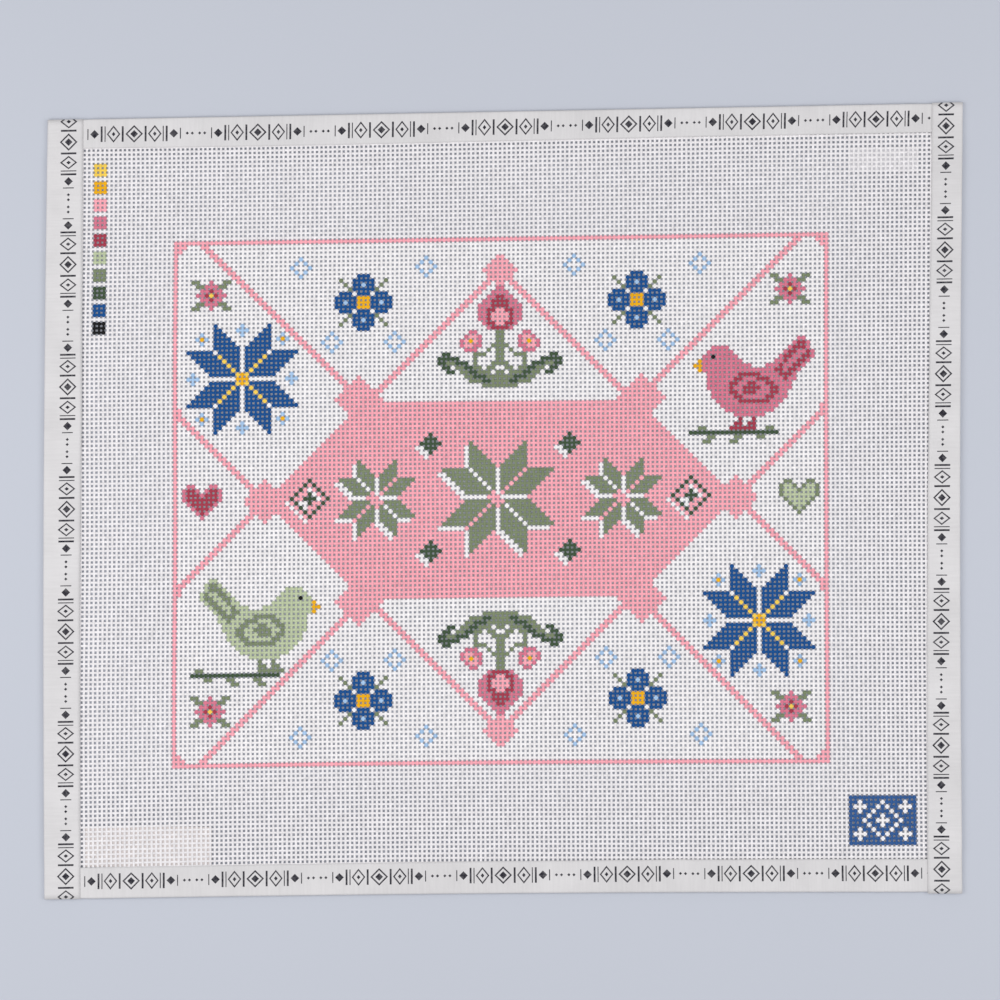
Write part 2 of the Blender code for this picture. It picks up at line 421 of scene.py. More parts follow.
# A small blue block at the lower right, with a white lozenge and four small crosses
BLOCK_COLUMN = 177
BLOCK_ROW = 151
BLOCK_REACH_ACROSS = 7
BLOCK_REACH_DOWN = 5
for row in range(BLOCK_ROW - BLOCK_REACH_DOWN, BLOCK_ROW + BLOCK_REACH_DOWN + 1):
    for column in range(BLOCK_COLUMN - BLOCK_REACH_ACROSS, BLOCK_COLUMN + BLOCK_REACH_ACROSS + 1):
        stitch(column, row, "n")
stitch_diamond(BLOCK_COLUMN, BLOCK_ROW, 4, "w", hollow=True)
stitch_diamond(BLOCK_COLUMN, BLOCK_ROW, 1, "w")
for turn_x, turn_y in DIAGONALS:
    stitch_diamond(BLOCK_COLUMN + 5 * turn_x, BLOCK_ROW + 3 * turn_y, 1, "w")

# The ground inside the frame is painted white
framed_rows = slice(TOP_ROW - FIRST_ROW, BOTTOM_ROW + 1 - FIRST_ROW)
framed_columns = slice(LEFT_COLUMN - FIRST_COLUMN, RIGHT_COLUMN + 1 - FIRST_COLUMN)
ground = chart[framed_rows, framed_columns]
ground[ground == "."] = "w"

paint_numbers = np.vectorize(PAINT_ORDER.index)(chart)


def linear(colour):
    """A colour out of 255 in the linear values that a shader takes."""
    share = np.asarray(colour, float) / 255
    return np.where(share <= 0.04045, share / 12.92, ((share + 0.055) / 1.055) ** 2.4)


paint_colours = np.array([linear(PAINTS[letter]) for letter in PAINT_ORDER])

# The labels: two small pieces of blank paper stuck to the back of the mesh, one white at the upper
# right and one cream at the lower left. They show through the holes.

LABEL_THICKNESS = 0.15
LABEL_GAP = 0.06
LABEL_STEPS = 12
PLACE_TRIES = 4

# Each label's middle as it lies, size, colour and material slot
LABELS = {
    "label_upper": ((165.8, 148.6), (29.7, 10.5), (208, 207, 212), "white_paper"),
    "label_lower": ((-155.1, -151.2), (55.9, 17.4), (215, 207, 205), "cream_paper"),
}


def panel_place(x, y):
    """Where a point of the laid panel is on the squarely cut one, found by stepping towards it."""
    target = np.stack((x, y), axis=-1)
    guess = target
    for _ in range(PLACE_TRIES):
        guess = guess + target - laid(guess[..., 0], guess[..., 1], 0.0)[..., :2] / MM
    return guess[..., 0], guess[..., 1]


def new_finish(name, roughness):
    """A material and its nodes, with the roughness that its shader starts from."""
    finish = bpy.data.materials.new(name)
    finish.use_nodes = True
    nodes = finish.node_tree.nodes
    shader = nodes["Principled BSDF"]
    shader.inputs["Roughness"].default_value = roughness
    shader.inputs["Specular IOR Level"].default_value = 0.3
    return finish, nodes, finish.node_tree.links, shader


def noise(nodes, links, place, scale, detail):
    """Cloudy noise from 0 to 1."""
    clouds = nodes.new("ShaderNodeTexNoise")
    clouds.inputs["Scale"].default_value = scale
    clouds.inputs["Detail"].default_value = detail
    links.new(place, clouds.inputs["Vector"])
    return clouds.outputs["Fac"]


def between(nodes, links, value, low, high, start=0.0, end=1.0):
    """Goes from low to high while a value goes from start to end."""
    scale = nodes.new("ShaderNodeMapRange")
    scale.inputs["From Min"].default_value = start
    scale.inputs["From Max"].default_value = end
    scale.inputs["To Min"].default_value = low
    scale.inputs["To Max"].default_value = high
    links.new(value, scale.inputs["Value"])
    return scale.outputs["Result"]


def shaded(nodes, links, colour, share):
    """A colour, or a socket that gives one, multiplied by a share."""
    product = nodes.new("ShaderNodeVectorMath")
    product.operation = "SCALE"
    if isinstance(colour, bpy.types.NodeSocket):
        links.new(colour, product.inputs[0])
    else:
        product.inputs[0].default_value = colour
    links.new(share, product.inputs["Scale"])
    return product.outputs["Vector"]


def emboss(nodes, links, shader, height, strength, depth):
    """Gives a surface a fine relief, its depth in metres."""
    bump = nodes.new("ShaderNodeBump")
    bump.inputs["Strength"].default_value = strength
    bump.inputs["Distance"].default_value = depth
    links.new(height, bump.inputs["Height"])
    links.new(bump.outputs["Normal"], shader.inputs["Normal"])


def paper(name, colour):
    """Matt paper: a faint cloudy colour and fine fibres."""
    finish, nodes, links, shader = new_finish(name, 0.7)
    place = nodes.new("ShaderNodeTexCoord").outputs["Object"]
    fibres = noise(nodes, links, place, scale=120.0, detail=5.0)
    tone = between(nodes, links, fibres, 0.93, 1.03)
    links.new(shaded(nodes, links, linear(colour), tone), shader.inputs["Base Color"])
    emboss(nodes, links, shader, fibres, strength=0.2, depth=0.00002)
    return finish


for name, (middle, size, colour, slot) in LABELS.items():
    shares = np.linspace(-0.5, 0.5, LABEL_STEPS + 1)
    across, up = np.meshgrid(shares, shares)
    x = middle[0] + across * size[0]
    y = middle[1] + up * size[1]
    top_height = mesh_middle(*panel_place(x, y)) - MESH_HALF_THICKNESS - LABEL_GAP
    layers = [np.stack((x, y, top_height - depth), axis=-1) * MM for depth in (0.0, LABEL_THICKNESS)]
    points = np.concatenate([layer.reshape(-1, 3) for layer in layers])
    grid = np.arange((LABEL_STEPS + 1) ** 2).reshape(LABEL_STEPS + 1, LABEL_STEPS + 1)
    top = np.stack((grid[:-1, :-1], grid[:-1, 1:], grid[1:, 1:], grid[1:, :-1]), axis=-1).reshape(-1, 4)
    rim = np.concatenate((grid[0, :], grid[1:, -1], grid[-1, -2::-1], grid[-2:0:-1, 0]))
    after = np.roll(rim, -1)
    below = grid.size
    walls = np.stack((rim, rim + below, after + below, after), axis=-1)
    data = bpy.data.meshes.new(name + "_paper")
    data.from_pydata(points, [], np.concatenate((top, top[:, ::-1] + below, walls)))
    data.materials.append(paper("label_paper_" + slot, colour))
    label = bpy.data.objects.new(name + "_paper", data)
    bpy.context.scene.collection.objects.link(label)
    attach(label, "root")
    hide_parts(name)

# The threads are woven in four upright strips. A strip has its upright threads whole and its crosswise
# threads up to the next strip, where their ends meet under an upright thread.

STRIPS = 4
SIDES = 4

# How unevenly the threads lie, how their girth varies and how evenly the painter's hand lays the paint
NUDGE = 0.014
GIRTH_SPREAD = 0.03
HAND_SPREAD = 0.02
CROSS_NUDGE = 0.2
rng = np.random.default_rng(13)
column_nudge = rng.normal(0.0, NUDGE, chart.shape)
row_nudge = rng.normal(0.0, NUDGE, chart.shape)
column_girth = rng.normal(1.0, GIRTH_SPREAD, chart.shape[1])
row_girth = rng.normal(1.0, GIRTH_SPREAD, chart.shape[0])
hand = rng.normal(1.0, HAND_SPREAD, chart.shape)
build = np.vectorize(lambda paint: PAINT_BUILD.get(paint, COLOUR_BUILD))(chart)

# A thread's section: where its four corners lie, in half widths and half heights, and which way the
# rounded thread faces there
SECTION = ((-0.9, -1.0), (-1.0, 1.0), (1.0, 1.0), (0.9, -1.0))
FACING = ((-0.8, -0.6), (-0.5, 0.87), (0.5, 0.87), (0.8, -0.6))

# The baking layout keeps this share of its side free at the ends of its rows, this share of one face's
# width free between two rows, and this length for the end of a thread
LAYOUT_EDGE = 0.01
LAYOUT_GUTTER = 0.5
LAYOUT_CAP = 0.002


def thread_stations(paints, first):
    """Crossings along a thread, with a half-way station wherever its paint changes."""
    crossings = np.arange(first, first + len(paints), dtype=float)
    changes = crossings[:-1][paints[1:] != paints[:-1]] + 0.5
    return np.sort(np.concatenate((crossings, changes)))


def thread_rings(column, row, upright, girth):
    """Rings of four points round a thread through the given crossings."""
    near_column = np.clip(np.rint(column).astype(int), FIRST_COLUMN, LAST_COLUMN) - FIRST_COLUMN
    near_row = np.clip(np.rint(row).astype(int), FIRST_ROW, LAST_ROW) - FIRST_ROW
    x = FIRST_HOLE_X + (column + 0.5) * COLUMN_PITCH
    y = FIRST_HOLE_Y - (row + 0.5) * ROW_PITCH
    aside, upward = drawn(x, y)
    x = x + aside + column_nudge[near_row, near_column] * (1.0 if upright else CROSS_NUDGE)
    y = y + upward + row_nudge[near_row, near_column] * (CROSS_NUDGE if upright else 1.0)
    rise = WEAVE_RISE * np.cos(math.pi * (column + row)) * (1.0 if upright else -1.0)
    z = mesh_middle(x, y) + rise
    half_width = THREAD_WIDTH / 2 * girth * build[near_row, near_column]
    half_height = THREAD_HEIGHT / 2
    points = []
    for side, lift in SECTION:
        shift_x = side * half_width if upright else 0.0
        shift_y = 0.0 if upright else side * half_width
        points.append(laid(x + shift_x, y + shift_y, z + lift * half_height))
    return np.stack(points, axis=1)


def strip_threads(first_column, seam):
    """The threads of a strip, as (upright, column or row, first crossing, last crossing)."""
    columns = range(first_column, min(seam, LAST_COLUMN + 1))
    threads = [(True, column, FIRST_ROW, LAST_ROW) for column in columns]
    for row in range(FIRST_ROW, LAST_ROW + 1):
        start = first_column
        if first_column > FIRST_COLUMN and (first_column + row) % 2:
            start += 1
        end = seam
        if seam <= LAST_COLUMN and (seam + row) % 2:
            end += 1
        threads.append((False, row, start, min(end, LAST_COLUMN)))
    return threads


def corner_map(along, across):
    """Map coordinates of the corners of every face between stations along and sides across."""
    a0, a1 = along[:-1, None], along[1:, None]
    b0, b1 = across[None, :-1], across[None, 1:]
    corners = [np.stack(np.broadcast_arrays(a, b), -1) for a, b in ((a0, b0), (a1, b0), (a1, b1), (a0, b1))]
    return np.stack(corners, axis=2).reshape(-1, 4, 2)


def weave_strip(name, finish, first_column, seam):
    """One strip of mesh, from a column of threads to the seam with the next strip."""
    points = []
    facings = []
    quads = []
    colours = []
    twists = []
    layouts = []
    total = 0
    threads = strip_threads(first_column, seam)
    upright_count = sum(thread[0] for thread in threads)
    crosswise_count = len(threads) - upright_count
    for place, (upright, thread, first, last) in enumerate(threads):
        if upright:
            paints = paint_numbers[:, thread - FIRST_COLUMN]
            shades = hand[:, thread - FIRST_COLUMN]
            girth = column_girth[thread - FIRST_COLUMN]
            pitch = ROW_PITCH
        else:
            part = slice(first - FIRST_COLUMN, last - FIRST_COLUMN + 1)
            paints = paint_numbers[thread - FIRST_ROW, part]
            shades = hand[thread - FIRST_ROW, part]
            girth = row_girth[thread - FIRST_ROW]
            pitch = COLUMN_PITCH
        stations = thread_stations(paints, first)
        level = np.full(len(stations), float(thread))
        column, row = (level, stations) if upright else (stations, level)
        points.append(thread_rings(column, row, upright, girth).reshape(-1, 3))
        count = len(stations)
        facing = [(side, 0.0, up) if upright else (0.0, side, up) for side, up in FACING]
        facings += facing * count
        ring = total + SIDES * np.arange(count)[:, None] + np.arange(SIDES)[None, :]
        following = np.roll(ring, -1, axis=1)
        body = np.stack((ring[:-1], ring[1:], following[1:], following[:-1]), axis=-1).reshape(-1, 4)
        quads += [body, ring[:1], ring[-1:, ::-1]]
        total += SIDES * count

        # A stretch between two stations takes the paint of the crossing that it belongs to
        crossing = np.ceil((stations[:-1] + stations[1:]) / 2 - 0.5).astype(int) - first
        tint = paint_colours[paints[crossing]] * shades[crossing][:, None]
        colours += [np.repeat(tint, SIDES, axis=0), paint_colours[paints[[0, -1]]]]

        # Along the thread in metres and round it in turns, for its twist
        along = stations * pitch * MM
        twists.append(corner_map(along, np.arange(SIDES + 1) / SIDES))
        twists.append(np.zeros((2, 4, 2)) + along[[0, -1], None, None])

        # Its row of the baking layout: upright threads in the left half, the others in the right, where
        # every row has room for the crossing that only some crosswise threads have at each end
        if upright:
            low, high = 0.5 * place / upright_count, 0.5 * (place + 1) / upright_count
            share = (stations - first) / (last - first)
            length = LAYOUT_EDGE + (1 - 2 * LAYOUT_EDGE) * share
        else:
            low = (place - upright_count) / crosswise_count
            high = (place + 1 - upright_count) / crosswise_count
            share = (stations - first_column + 1) / (seam - first_column + 3)
            length = 0.5 + LAYOUT_EDGE / 2 + (0.5 - LAYOUT_EDGE) * share
        width = low + (high - low) * (np.arange(SIDES + 1) + LAYOUT_GUTTER / 2) / (SIDES + LAYOUT_GUTTER)
        layout = corner_map(length, width)
        caps = []
        for inner, outer in ((length[0], length[0] - LAYOUT_CAP), (length[-1], length[-1] + LAYOUT_CAP)):
            caps.append([(outer, width[0]), (inner, width[0]), (inner, width[-1]), (outer, width[-1])])
        layout = np.concatenate((layout, np.array(caps)))
        layouts.append(layout[..., ::-1] if upright else layout)

    points = np.concatenate(points)
    quads = np.concatenate(quads)
    colours = np.repeat(np.concatenate(colours), 4, axis=0)
    data = bpy.data.meshes.new(name)
    data.from_pydata(points, [], quads)
    paint = data.color_attributes.new("paint", "FLOAT_COLOR", "CORNER")
    paint.data.foreach_set("color", np.c_[colours, np.ones(len(colours))].ravel())
    data.uv_layers.new(name="thread").data.foreach_set("uv", np.concatenate(twists).ravel())
    data.uv_layers.new(name="OFBake").data.foreach_set("uv", np.concatenate(layouts).ravel())
    data.shade_smooth()
    data.normals_split_custom_set_from_vertices(facings)
    data.materials.append(finish)
    strip = bpy.data.objects.new(name, data)
    bpy.context.scene.collection.objects.link(strip)
    return strip


def maths(nodes, links, operation, first, second=None, third=None):
    """A Math node on sockets or plain numbers."""
    node = nodes.new("ShaderNodeMath")
    node.operation = operation
    for socket, value in zip(node.inputs, (first, second, third)):
        if value is None:
            continue
        if isinstance(value, (int, float)):
            socket.default_value = value
        else:
            links.new(value, socket)
    return node.outputs[0]


TWISTS_PER_METRE = 900.0
PLIES = 2


def painted_cotton():
    """Cotton thread with its twist, in the paint of each stitch, laid on a little unevenly."""
    finish, nodes, links, shader = new_finish("painted_cotton_thread", 0.8)
    paint = nodes.new("ShaderNodeAttribute")
    paint.attribute_name = "paint"
    place = nodes.new("ShaderNodeTexCoord").outputs["Object"]
    blotches = noise(nodes, links, place, scale=420.0, detail=3.0)
    tone = between(nodes, links, blotches, 0.83, 1.13)
    links.new(shaded(nodes, links, paint.outputs["Color"], tone), shader.inputs["Base Color"])
    links.new(between(nodes, links, blotches, 0.65, 0.95), shader.inputs["Roughness"])
    thread = nodes.new("ShaderNodeUVMap")
    thread.uv_map = "thread"
    parts = nodes.new("ShaderNodeSeparateXYZ")
    links.new(thread.outputs["UV"], parts.inputs["Vector"])
    turns = maths(nodes, links, "MULTIPLY_ADD", parts.outputs["X"], TWISTS_PER_METRE, parts.outputs["Y"])
    ply = maths(nodes, links, "SINE", maths(nodes, links, "MULTIPLY", turns, PLIES * 2 * math.pi))
    emboss(nodes, links, shader, ply, strength=0.5, depth=0.00004)
    return finish


thread_finish = painted_cotton()

# The lower label lies behind the first strip and the upper one behind the last
strip_width = (LAST_COLUMN - FIRST_COLUMN + 1) // STRIPS + 1
for number in range(STRIPS):
    first_column = FIRST_COLUMN + number * strip_width
    seam = first_column + strip_width
    strip = weave_strip(f"canvas_strip_{number + 1}", thread_finish, first_column, seam)
    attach(strip, "root")
    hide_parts("canvas")

# The bindings: white plain-woven cotton tape, folded lengthwise over the mesh's raw edges and pressed.
# The top and bottom tapes went on first, so the side tapes lie over their ends. A charcoal border of
# lozenges and bars is printed along the half that shows.

TAPE_WIDTH = 28.6
TAPE_THICKNESS = 0.3

# The fold takes this much of the width. It stands higher and further off the table than the rest of the
# tape by its puff and its lift, which fade out over their length.
FOLD_LENGTH = 3.7
FOLD_PUFF = 0.6
FOLD_LIFT = 0.5
PUFF_LENGTH = 7.0

# Width of the half that shows, at even steps from the left end to the right, or from the bottom to the top
FRONT_WIDTH = {
    "top": (12.9, 13.4, 12.4, 12.7),
    "bottom": (13.7, 13.9, 14.2, 14.5),
    "left": (15.8, 16.1, 16.3, 15.6),
    "right": (15.25, 14.75, 13.95, 13.6),
}
LAYER_GAP = 0.04
FRONT_UNDERSIDE = MESH_IN_TAPES + MESH_HALF_THICKNESS + LAYER_GAP
FRONT_TOP = FRONT_UNDERSIDE + TAPE_THICKNESS

# Where tapes cross, one steps over the other on a ramp that ends clear of it. The top and bottom tapes
# stop short of the panel's ends. The side tapes run past its bottom edge and its top edge by END_PAST.
CORNER_STEP = TAPE_THICKNESS + LAYER_GAP
RAMP_LENGTH = 4.0
RAMP_CLEARANCE = 0.8
END_INSET = 2.5
END_PAST = {"left": (0.0, 0.0), "right": (0.6, 0.2)}

ARC_STEPS = 10
FRONT_STEPS = 10
BACK_STEPS = 8
STATION_LENGTH = 2.5
CUT_EDGE = 1.0
STRAY = 0.05
tape_rng = np.random.default_rng(28)

# The baking layout: a tape's length in this many rows, its inner side drawn narrower than its outer one
LAYOUT_ROWS = 3
ROW_START = 0.01
ROW_LENGTH = 0.97
ROW_FOOT = 0.02
ROW_HEIGHT = 0.94
INNER_SQUEEZE = 0.25
SQUEEZED_HEIGHT = 1.27
END_DISC = 0.004
END_DISC_PLACES = ((0.99, 0.1), (0.99, 0.5))

# A place on the tape's own map that its print doesn't reach, for its cut ends
UNPRINTED = 0.2


def tape_section(front, low, high, loose):
    """A folded tape from its end: (distance in from the fold, height, distance across the tape).

    Where it's loose, the fold stands a little off the table and higher than the rest."""
    back = TAPE_WIDTH - FOLD_LENGTH - front
    fold_low = low + FOLD_LIFT * loose
    outer = (high + FOLD_PUFF * loose - fold_low) / 2
    inner = outer - TAPE_THICKNESS
    middle = fold_low + outer

    def swell(inward):
        """How much of the puff is left at a distance in from the fold."""
        return loose * (1 - smooth_step((inward - outer) / PUFF_LENGTH))

    section = []
    for step in range(FRONT_STEPS + 1):
        inward = front + (outer - front) * step / FRONT_STEPS
        section.append((inward, high + FOLD_PUFF * swell(inward), front - inward))
    for step in range(1, ARC_STEPS + 1):
        turn = math.pi * step / ARC_STEPS
        section.append(
            (
                outer - outer * math.sin(turn),
                middle + outer * math.cos(turn),
                front - outer + FOLD_LENGTH * step / ARC_STEPS,
            )
        )
    for step in range(1, BACK_STEPS + 1):
        inward = outer + (back - outer) * step / BACK_STEPS
        section.append((inward, low + FOLD_LIFT * swell(inward), TAPE_WIDTH - back + inward))
    for step in range(BACK_STEPS + 1):
        inward = back + (outer - back) * step / BACK_STEPS
        height = low + FOLD_LIFT * swell(inward) + TAPE_THICKNESS
        section.append((inward, height, TAPE_WIDTH + back - inward))
    for step in range(1, ARC_STEPS + 1):
        turn = math.pi * (1 - step / ARC_STEPS)
        section.append(
            (
                outer - inner * math.sin(turn),
                middle + inner * math.cos(turn),
                2 * TAPE_WIDTH - front + outer - FOLD_LENGTH * (1 - step / ARC_STEPS),
            )
        )
    for step in range(1, FRONT_STEPS + 1):
        inward = outer + (front - outer) * step / FRONT_STEPS
        height = high + FOLD_PUFF * swell(inward) - TAPE_THICKNESS
        section.append((inward, height, 2 * TAPE_WIDTH - front + inward))
    return section


def flat_layout(stations, across, along, first_ring):
    """Where the corners of a tape's faces lie in its baking layout."""
    squeezed = np.where(across > TAPE_WIDTH, TAPE_WIDTH + (across - TAPE_WIDTH) * INNER_SQUEEZE, across)
    height = squeezed / (SQUEEZED_HEIGHT * TAPE_WIDTH)
    length = (along - stations[0]) / (stations[-1] - stations[0])
    row = np.minimum(first_ring * LAYOUT_ROWS // (len(stations) - 1), LAYOUT_ROWS - 1)
    row = np.repeat(row, 4).reshape(-1, 4)
    starts = np.array([length[row == number].min() for number in range(LAYOUT_ROWS)])
    ends = np.array([length[row == number].max() for number in range(LAYOUT_ROWS)])
    in_row = (length - starts[row]) / (ends - starts).max()
    in_height = (row + ROW_FOOT + ROW_HEIGHT * height) / LAYOUT_ROWS
    return np.stack((ROW_START + ROW_LENGTH * in_row, in_height), axis=-1)


def fold_tape(name, finish, side, stations, heights):
    """A tape lofted along its edge of the panel; heights gives (low, high, loose) at each station."""
    upright = side in ("left", "right")
    outward = 1.0 if side in ("right", "top") else -1.0
    half_across = WIDTH / 2 if upright else HEIGHT / 2
    half_along = HEIGHT / 2 if upright else WIDTH / 2
    widths = FRONT_WIDTH[side]
    wander = np.cumsum(tape_rng.normal(0.0, STRAY, len(stations)))
    wander -= np.linspace(wander[0], wander[-1], len(stations))
    rings = []
    rounds = []
    for station, (low, high, loose), stray in zip(stations, heights, wander):
        share = station / (2 * half_along) + 0.5
        front = np.interp(share, np.linspace(0, 1, len(widths)), widths) + stray / 2
        inward, height, across = np.array(tape_section(front, low, high, loose)).T
        away = outward * (half_across - inward)
        place = (away, station, height) if upright else (station, away, height)
        rings.append(laid(*place))
        rounds.append(across)
    points = np.array(rings)
    count, sides = points.shape[:2]
    index = np.arange(count * sides).reshape(count, sides)
    turned = np.roll(index, -1, axis=1)
    quads = np.stack((index[:-1], index[1:], turned[1:], turned[:-1]), axis=-1).reshape(-1, 4)
    flip = upright == (outward > 0)
    if flip:
        quads = quads[:, ::-1]
    corner_station = np.repeat(np.arange(count), sides)[quads]
    corner_side = np.tile(np.arange(sides), count)[quads]
    closing = (corner_side.min(axis=1) == 0) & (corner_side.max(axis=1) == sides - 1)
    around = np.concatenate((np.array(rounds), np.full((count, 1), 2 * TAPE_WIDTH + CUT_EDGE)), axis=1)
    side_number = np.where(closing[:, None] & (corner_side == 0), sides, corner_side)
    along = np.asarray(stations)[corner_station]
    across = around[corner_station, side_number]
    tape_map = np.stack((along, across), axis=-1) * MM
    layout = flat_layout(stations, across, along, corner_station.min(axis=1))

    data = bpy.data.meshes.new(name)
    turn = -1 if flip else 1
    faces = quads.tolist() + [index[0][::turn].tolist(), index[-1][::-turn].tolist()]
    data.from_pydata(points.reshape(-1, 3), [], faces)
    unprinted = np.full((2 * sides, 2), UNPRINTED)
    data.uv_layers.new(name="tape").data.foreach_set(
        "uv", np.concatenate((tape_map.reshape(-1, 2), unprinted)).ravel()
    )
    ring_angle = np.arange(sides) / sides * 2 * math.pi
    disc = np.stack((np.cos(ring_angle), np.sin(ring_angle)), axis=-1) * END_DISC
    discs = np.concatenate([disc + place for place in END_DISC_PLACES])
    data.uv_layers.new(name="OFBake").data.foreach_set(
        "uv", np.concatenate((layout.reshape(-1, 2), discs)).ravel()
    )

    # The tape's two cut sides and its ends have crisp edges
    smooth = np.ones(len(faces), bool)
    back_cut = FRONT_STEPS + ARC_STEPS + BACK_STEPS
    smooth[sides - 1::sides] = False
    smooth[back_cut::sides] = False
    smooth[-2:] = False
    data.polygons.foreach_set("use_smooth", smooth)
    data.materials.append(finish)
    tape = bpy.data.objects.new(name, data)
    bpy.context.scene.collection.objects.link(tape)
    return tape


TAPE_COTTON = (213, 211, 212)
TAPE_INK = (36, 35, 45)
TAPE_RIB = 0.55

# The border's middle line lies this far from the tape's inner edge, and its marks repeat at this length
PRINT_LINE = 6.2
PRINT_REPEAT = 54.0


def printed_tape():
    """Plain-woven cotton tape with its printed border, laid out in millimetres on the flat tape."""
    finish, nodes, links, shader = new_finish("printed_cotton_tape", 0.85)
    tape = nodes.new("ShaderNodeUVMap")
    tape.uv_map = "tape"
    parts = nodes.new("ShaderNodeSeparateXYZ")
    links.new(tape.outputs["UV"], parts.inputs["Vector"])
    along = maths(nodes, links, "MULTIPLY", parts.outputs["X"], 1000.0)
    across = maths(nodes, links, "MULTIPLY", parts.outputs["Y"], 1000.0)

    def thread_wave(socket, pitch):
        """The rise and fall of threads that lie so far apart."""
        return maths(nodes, links, "SINE", maths(nodes, links, "MULTIPLY", socket, 2 * math.pi / pitch))

    lengthwise = thread_wave(across, TAPE_RIB)
    crosswise = thread_wave(along, TAPE_RIB)
    weave = maths(nodes, links, "MULTIPLY", lengthwise, crosswise)
    place = nodes.new("ShaderNodeTexCoord").outputs["Object"]
    slubs = noise(nodes, links, place, scale=900.0, detail=4.0)
    mottle = noise(nodes, links, place, scale=45.0, detail=2.0)

    # Thicker threads cross the tape as faint bars
    cross_place = nodes.new("ShaderNodeCombineXYZ")
    links.new(maths(nodes, links, "MULTIPLY", along, 0.9), cross_place.inputs["X"])
    links.new(maths(nodes, links, "MULTIPLY", across, 0.07), cross_place.inputs["Y"])
    thick_threads = noise(nodes, links, cross_place.outputs["Vector"], scale=1.0, detail=3.0)

    # One repeat of the border, folded at its middle
    folded = maths(nodes, links, "PINGPONG", along, PRINT_REPEAT / 2)
    off_line = maths(nodes, links, "ABSOLUTE", maths(nodes, links, "SUBTRACT", across, PRINT_LINE))

    def lozenge(middle, half_length, half_height):
        """Distance out from a lozenge's middle, 1 on its outline."""
        reach = maths(nodes, links, "ABSOLUTE", maths(nodes, links, "SUBTRACT", folded, middle))
        wide = maths(nodes, links, "DIVIDE", reach, half_length)
        return maths(nodes, links, "MULTIPLY_ADD", off_line, 1 / half_height, wide)

    def inside(distance, limit=1.0):
        """1 where a distance is under its limit, else 0."""
        return maths(nodes, links, "LESS_THAN", distance, limit)

    def outline(distance, thickness):
        """A lozenge's outline, half its thickness given as a share of the lozenge."""
        beyond = maths(nodes, links, "ABSOLUTE", maths(nodes, links, "SUBTRACT", distance, 1.0))
        return inside(beyond, thickness)

    def bar(middle, half_thickness, half_height):
        """A bar across the border."""
        reach = maths(nodes, links, "ABSOLUTE", maths(nodes, links, "SUBTRACT", folded, middle))
        return maths(
            nodes, links, "MULTIPLY", inside(reach, half_thickness), inside(off_line, half_height)
        )

    # Lozenges and bars from the middle of a repeat to its end: place along it, then half sizes
    marks = [
        outline(lozenge(0.0, 3.4, 3.4), 0.13),
        inside(lozenge(0.0, 1.7, 1.7)),
        bar(5.0, 0.42, 3.4),
        outline(lozenge(9.0, 2.6, 3.3), 0.14),
        inside(lozenge(9.0, 0.8, 1.0)),
        bar(12.7, 0.22, 3.4),
        bar(14.2, 0.42, 3.4),
        inside(lozenge(17.3, 1.9, 1.9)),
        bar(20.2, 0.22, 2.4),
        inside(lozenge(23.2, 0.7, 0.7)),
        inside(lozenge(25.4, 0.7, 0.7)),
    ]
    ink = marks[0]
    for mark in marks[1:]:
        ink = maths(nodes, links, "MAXIMUM", ink, mark)

    # The ink is a little thin where the tape's slubs stand out
    worn = between(nodes, links, slubs, 0.84, 1.0, start=0.25, end=0.6)
    ink = maths(nodes, links, "MULTIPLY", ink, worn)

    # The cotton's colour: its own mottle and the thicker threads' bars, and painted shade that follows the
    # weave's rise and fall
    shade = maths(nodes, links, "MULTIPLY_ADD", weave, 0.018, 0.83)
    shade = maths(nodes, links, "MULTIPLY_ADD", mottle, 0.2, shade)
    shade = maths(nodes, links, "MULTIPLY_ADD", thick_threads, 0.16, shade)
    cotton = shaded(nodes, links, linear(TAPE_COTTON), shade)
    colour = nodes.new("ShaderNodeMix")
    colour.data_type = "RGBA"
    links.new(ink, colour.inputs["Factor"])
    links.new(cotton, colour.inputs["A"])
    colour.inputs["B"].default_value = (*linear(TAPE_INK), 1.0)
    links.new(colour.outputs["Result"], shader.inputs["Base Color"])
    relief = maths(nodes, links, "MULTIPLY_ADD", slubs, 0.8, weave)
    emboss(nodes, links, shader, relief, strength=0.45, depth=0.00005)
    links.new(maths(nodes, links, "MULTIPLY_ADD", slubs, 0.2, 0.75), shader.inputs["Roughness"])
    return finish


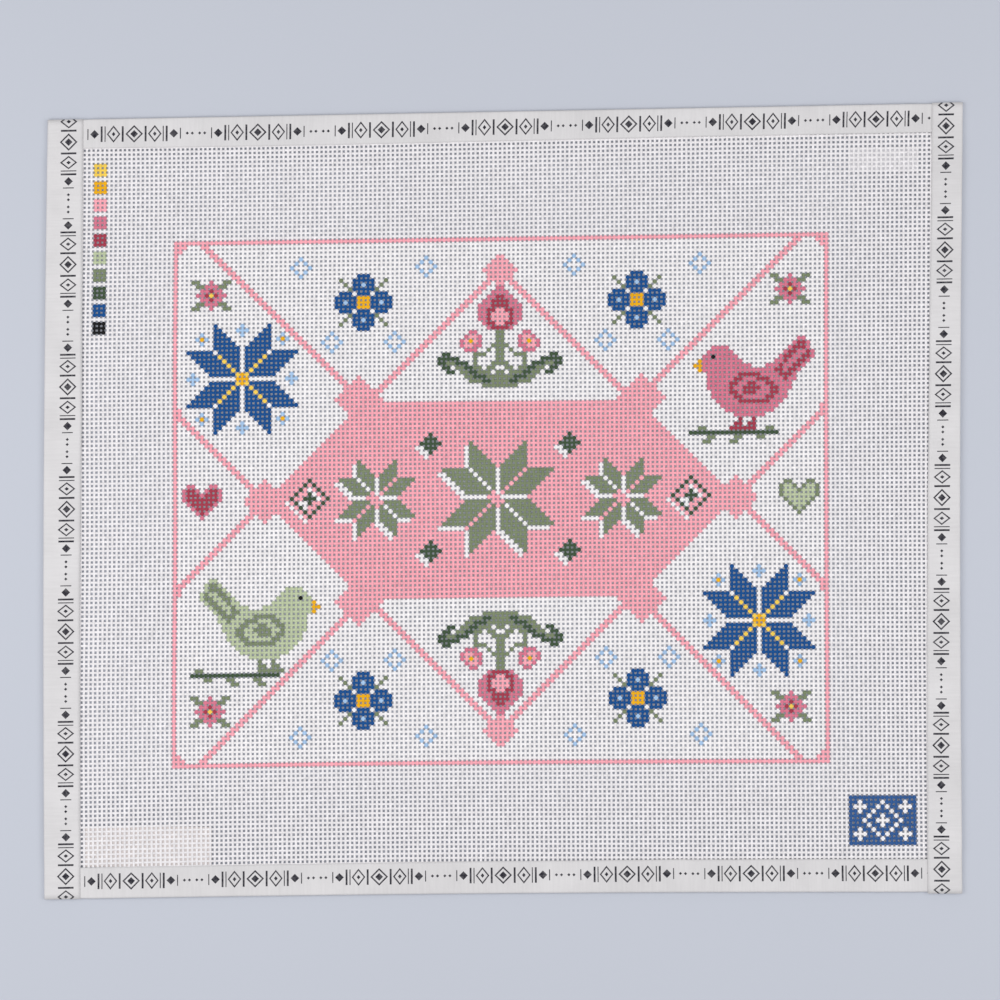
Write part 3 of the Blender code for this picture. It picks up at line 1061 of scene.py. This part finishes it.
tape_finish = printed_tape()
for side in ("top", "bottom", "left", "right"):
    if side in ("top", "bottom"):
        length = WIDTH - 2 * END_INSET
        stations = np.linspace(-length / 2, length / 2, round(length / STATION_LENGTH) + 1)

        # Their back climbs over the side tapes' backs, and their fold is pressed flat where it's covered
        end_width = FRONT_WIDTH["left"][0 if side == "bottom" else -1]
        clear = WIDTH / 2 - (TAPE_WIDTH - FOLD_LENGTH - end_width) - RAMP_CLEARANCE
        climb = smooth_step((np.abs(stations) - clear + RAMP_LENGTH) / RAMP_LENGTH)
        covered = WIDTH / 2 - end_width - RAMP_CLEARANCE
        pressed = smooth_step((np.abs(stations) - covered + RAMP_LENGTH) / RAMP_LENGTH)
        heights = [(CORNER_STEP * c, FRONT_TOP, 1 - p) for c, p in zip(climb, pressed)]
    else:
        past_bottom, past_top = END_PAST[side]
        length = HEIGHT + past_bottom + past_top
        steps = round(length / STATION_LENGTH)
        stations = np.linspace(-HEIGHT / 2 - past_bottom, HEIGHT / 2 + past_top, steps + 1)

        # Their front climbs over the top and bottom tapes, which press the fold flat there
        corner = 0 if side == "left" else -1
        climbs = []
        for station in stations:
            over = FRONT_WIDTH["top" if station > 0 else "bottom"][corner] + RAMP_CLEARANCE
            climbs.append(smooth_step((abs(station) - HEIGHT / 2 + over + RAMP_LENGTH) / RAMP_LENGTH))
        heights = [(0.0, FRONT_TOP + CORNER_STEP * c, 1 - c) for c in climbs]
    tape = fold_tape(f"tape_{side}", tape_finish, side, stations, heights)
    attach(tape, "root")
    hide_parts("binding_" + side)

# The table top: a plain matt board in a pale blue-grey, seen from straight above. A softbox overhead and
# one on each side, with weak light from all round, leave only thin shadows along the panel's edges.

FLOOR = (193, 197, 207)
FLOOR_REACH = 2.5
FLOOR_HEIGHT = -0.0001
floor_mesh = bpy.data.meshes.new("table_top")
floor_corners = [
    (FLOOR_REACH * turn_x, FLOOR_REACH * turn_y, FLOOR_HEIGHT)
    for turn_x, turn_y in ((-1, -1), (1, -1), (1, 1), (-1, 1))
]
floor_mesh.from_pydata(floor_corners, [], [(0, 1, 2, 3)])
floor = bpy.data.objects.new("table_top", floor_mesh)
bpy.context.scene.collection.objects.link(floor)
floor_finish, nodes, links, shader = new_finish("matt_table_top", 0.8)
place = nodes.new("ShaderNodeTexCoord").outputs["Object"]
tone = between(nodes, links, noise(nodes, links, place, scale=3.0, detail=2.0), 0.98, 1.02)
links.new(shaded(nodes, links, linear(FLOOR), tone), shader.inputs["Base Color"])
floor_mesh.materials.append(floor_finish)

# The camera looks straight down on a square of the table
VIEW_MIDDLE = (-0.00135, 0.00017)
VIEW_WIDTH = 0.4366
CAMERA_HEIGHT = 1.3
SENSOR_WIDTH = 36.0
camera_data = bpy.data.cameras.new("camera")
camera_data.sensor_width = SENSOR_WIDTH
camera_data.lens = SENSOR_WIDTH * CAMERA_HEIGHT / VIEW_WIDTH
camera_data.clip_end = 10.0
camera = bpy.data.objects.new("camera", camera_data)
camera.location = (*VIEW_MIDDLE, CAMERA_HEIGHT)
bpy.context.scene.collection.objects.link(camera)
bpy.context.scene.camera = camera


def soft_light(name, location, size, power):
    """A square white softbox that faces the middle of the table."""
    data = bpy.data.lights.new(name, "AREA")
    data.shape = "SQUARE"
    data.size = size
    data.energy = power
    lamp = bpy.data.objects.new(name, data)
    lamp.location = location
    away = lamp.location.normalized()
    lamp.rotation_euler = away.to_track_quat("Z", "Y").to_euler()
    bpy.context.scene.collection.objects.link(lamp)


soft_light("softbox_overhead", (0.0, -0.05, 1.44), size=0.7, power=3.6)
soft_light("softbox_left", (-0.62, -0.03, 0.72), size=0.6, power=3.4)
soft_light("softbox_right", (0.66, -0.03, 0.76), size=0.6, power=3.1)
world = bpy.data.worlds.new("studio")
bpy.context.scene.world = world
world.use_nodes = True
background = world.node_tree.nodes["Background"]
background.inputs["Color"].default_value = (0.975, 0.98, 1.0, 1.0)
background.inputs["Strength"].default_value = 0.45

bpy.context.scene.view_settings.view_transform = "Standard"

bpy.context.view_layer.update()
